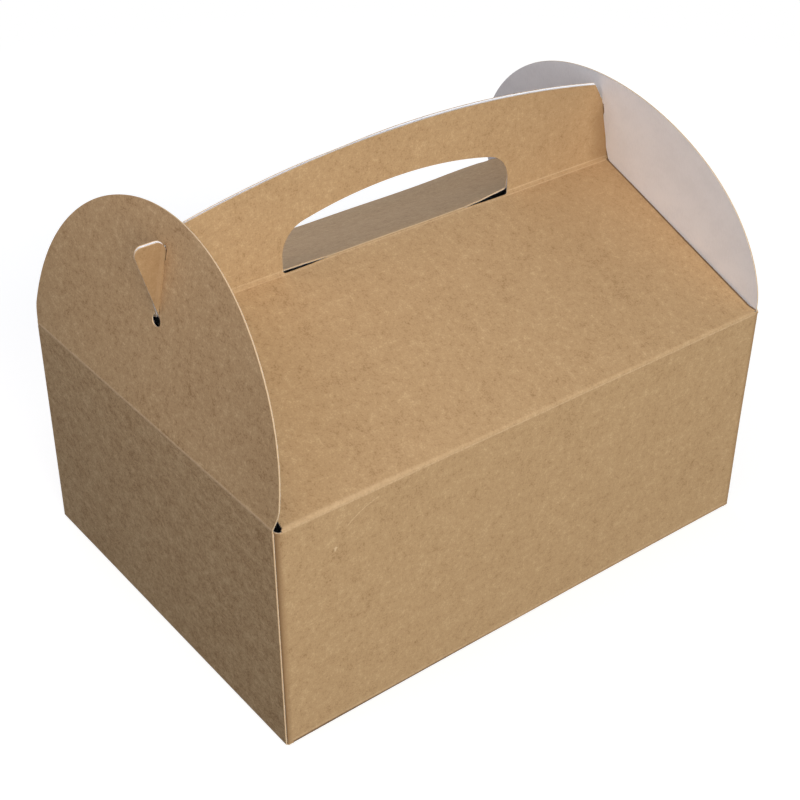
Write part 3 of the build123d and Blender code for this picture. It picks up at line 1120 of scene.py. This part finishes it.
class CARTON_OT_hang_end_flaps(Operator):
    """Make the two arched end flaps and the creased strips they swing on"""

    bl_idname = "carton.hang_end_flaps"
    bl_label = "Hang end flaps"

    def execute(self, context):
        sizes = context.scene.carton_sizes
        layout = Layout(sizes)
        finishes = board_finishes(layout, context.scene.carton_colours)
        for name, side in (("left", -1), ("right", 1)):
            flap = FlapLayout(layout, side)
            self.make_arch(name, flap, finishes)
            self.make_crease(name, flap, finishes)
        return {"FINISHED"}

    def make_arch(self, name, flap, finishes):
        """The arch rides on its own body."""
        sizes = flap.sizes
        half = flap.layout.half_width
        up = stations(sizes.crease_reach, sizes.arch_height, sizes.mesh_step)
        across = stations(-half, half, sizes.mesh_step)
        grid = lattice(up, across)
        outline = refine(flap.arch_edge(), sizes.mesh_step, sizes.fold_step)
        slot = refine(flap.slot_edge(), 0.8 * MM, sizes.fold_step)
        blank, triangles = triangulate(outline, [slot], grid)
        arch = self.build(f"{name}_arch", blank, triangles, flap.fold, flap, finishes)
        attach(arch, f"{name}_flap")
        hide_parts(f"{name}_end_flap")

    def make_crease(self, name, flap, finishes):
        """The strip bends between the end wall and the arch."""
        sizes = flap.sizes
        reach, half = sizes.crease_reach, flap.layout.half_width
        fine = sizes.mesh_step / 4
        up = stations(-reach, reach, sizes.fold_step)
        across = stations(-half, half, fine)
        grid = lattice(up, across)
        outline = refine(flap.crease_edge(), fine, sizes.fold_step)
        blank, triangles = triangulate(outline, [], grid)
        crease = self.build(f"{name}_crease", blank, triangles, flap.fold_crease, flap, finishes)
        ends, _ = flap.fold_crease(np.array([(-reach, 0.0), (reach, 0.0)]))
        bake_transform(crease)

    def build(self, name, blank, triangles, fold, flap, finishes):
        """A piece of a flap; its places go on from the end wall's on the blank."""
        turned = triangles if flap.side > 0 else triangles[:, ::-1]
        shift = (flap.layout.end.total, 0)
        return board_mesh(name, blank, turned, fold, shift, flap.sizes.board, finishes)


class CARTON_OT_set_stage(Operator):
    """Set the pale floor, the soft lights and the camera at the photograph's view"""

    bl_idname = "carton.set_stage"
    bl_label = "Set stage"

    def execute(self, context):
        scene = context.scene
        scene.view_settings.view_transform = "Standard"
        self.make_floor(scene)
        self.make_world(scene)
        self.softbox("front_softbox", (-0.2, -1.3, 0.5), width=1.0, power=16.6, colour=(1.0, 0.975, 0.92))
        self.softbox("top_softbox", (-0.18, -0.16, 0.58), width=0.3, power=0.6, colour=(1.0, 0.78, 0.54))
        self.softbox("left_softbox", (-0.3, 0.0, 0.36), width=0.2, power=0.395, colour=(0.98, 0.935, 1.0))
        self.softbox("back_softbox", (0.15, 1.0, 0.5), width=0.6, power=3.5, colour=(0.74, 0.83, 1.0))
        self.softbox("right_softbox", (1.0, 0.0, 0.14), width=0.5, power=3.0, colour=(1.0, 0.97, 0.93))
        self.make_camera(scene)
        return {"FINISHED"}

    def make_floor(self, scene):
        """White to the camera, with the carton's shadow, and pale grey to the carton."""
        mesh = bpy.data.meshes.new("floor")
        half, level = 4.0, -0.2 * MM
        corners = [(-half, -half, level), (half, -half, level), (half, half, level), (-half, half, level)]
        mesh.from_pydata(corners, [], [(0, 1, 2, 3)])
        floor = bpy.data.objects.new("floor", mesh)
        scene.collection.objects.link(floor)
        paper = Finish(bpy.data.materials.new("pale_floor"))
        seen = self.seen(paper)
        place = paper.out(paper.node("ShaderNodeNewGeometry"), "Position")
        away = paper.out(paper.node("ShaderNodeVectorMath", {"operation": "LENGTH"}, {0: place}), "Value")
        grain = paper.noise(place, 0.4, 2)
        colour = paper.mix(grain * 0.1, opaque(scene.carton_colours.floor), (1, 1, 1, 1))
        colour = paper.mix(seen, opaque(scene.carton_colours.floor_bounce), colour)
        diffuse = paper.out(paper.node("ShaderNodeBsdfDiffuse", None, {"Color": colour}))
        far = paper.step(away, 0.25, 0.6)
        near_glow, far_glow = (1, 0.985, 0.97, 1), (0.71, 0.71, 0.71, 1)
        glow = {"Color": paper.mix(far, near_glow, far_glow), "Strength": 1.41}
        white = paper.out(paper.node("ShaderNodeEmission", None, glow))
        whiteness = seen * (0.55 + far * 0.45)
        both = paper.node("ShaderNodeMixShader", None, {0: whiteness, 1: diffuse, 2: white})
        paper.node("ShaderNodeOutputMaterial", None, {"Surface": paper.out(both)})
        mesh.materials.append(paper.owner)

    def seen(self, finish):
        """1 for rays that show the background: from the camera, mirrored or through glass."""
        path = finish.node("ShaderNodeLightPath")
        rays = [finish.out(path, f"Is {kind} Ray") for kind in ("Camera", "Glossy", "Transmission")]
        return finish.most(*rays)

    def make_world(self, scene):
        """White behind the carton and an even soft light on it."""
        scene.world = bpy.data.worlds.new("studio")
        sky = Finish(scene.world)
        soft = sky.node("ShaderNodeBackground", None, {"Color": (0.48, 0.72, 1, 1), "Strength": 0.21})
        white = sky.node("ShaderNodeBackground", None, {"Color": (1, 1, 1, 1), "Strength": 1.0})
        both = sky.node("ShaderNodeMixShader", None, {0: self.seen(sky), 1: sky.out(soft), 2: sky.out(white)})
        sky.node("ShaderNodeOutputWorld", None, {"Surface": sky.out(both)})

    def softbox(self, name, place, width, power, colour):
        """A square soft light aimed at the carton."""
        light = bpy.data.lights.new(name, "AREA")
        light.shape, light.size, light.energy, light.color = "SQUARE", width, power, colour
        lamp = bpy.data.objects.new(name, light)
        aim = Vector((0, 0, 0.07)) - Vector(place)
        lamp.location = place
        lamp.rotation_mode = "QUATERNION"
        lamp.rotation_quaternion = aim.to_track_quat("-Z", "Y")
        bpy.context.scene.collection.objects.link(lamp)

    def make_camera(self, scene):
        """The photograph's view: its place, heading, pitch, roll and lens."""
        place = Vector((-0.30491, -0.3906, 0.3856))
        heading, pitch, roll = math.radians(38.049), math.radians(-33.805), math.radians(0.259)
        level = math.cos(pitch)
        ahead = Vector((level * math.sin(heading), level * math.cos(heading), math.sin(pitch)))
        right = ahead.cross(Vector((0, 0, 1))).normalized()
        up = right.cross(ahead)
        turned = Matrix((right, up, -ahead)).transposed()
        data = bpy.data.cameras.new("photo_camera")
        data.lens, data.sensor_width, data.clip_start = 68.683, 36.0, 0.01
        camera = bpy.data.objects.new("photo_camera", data)
        camera.matrix_world = Matrix.Translation(place) @ (turned @ Matrix.Rotation(roll, 3, "Z")).to_4x4()
        scene.collection.objects.link(camera)
        scene.camera = camera


class CARTON_PT_panel(Panel):
    """Lists the steps and the values in the sidebar"""

    bl_label = "Gable carton"
    bl_idname = "CARTON_PT_panel"
    bl_space_type = "VIEW_3D"
    bl_region_type = "UI"
    bl_category = "Carton"

    def draw(self, context):
        for step in (CARTON_OT_fold_sheet, CARTON_OT_hang_end_flaps, CARTON_OT_set_stage):
            self.layout.operator(step.bl_idname)
        for group in (context.scene.carton_sizes, context.scene.carton_colours):
            column = self.layout.column()
            for name in group.__annotations__:
                column.prop(group, name)


CLASSES = (
    CartonSizes,
    CartonColours,
    CARTON_OT_fold_sheet,
    CARTON_OT_hang_end_flaps,
    CARTON_OT_set_stage,
    CARTON_PT_panel,
)


def register():
    for item in CLASSES:
        bpy.utils.register_class(item)
    bpy.types.Scene.carton_sizes = PointerProperty(type=CartonSizes)
    bpy.types.Scene.carton_colours = PointerProperty(type=CartonColours)


def unregister():
    del bpy.types.Scene.carton_colours
    del bpy.types.Scene.carton_sizes
    for item in reversed(CLASSES):
        bpy.utils.unregister_class(item)


def main():
    register()
    bpy.ops.carton.fold_sheet()
    bpy.ops.carton.hang_end_flaps()
    bpy.ops.carton.set_stage()


if __name__ == "__main__":
    main()
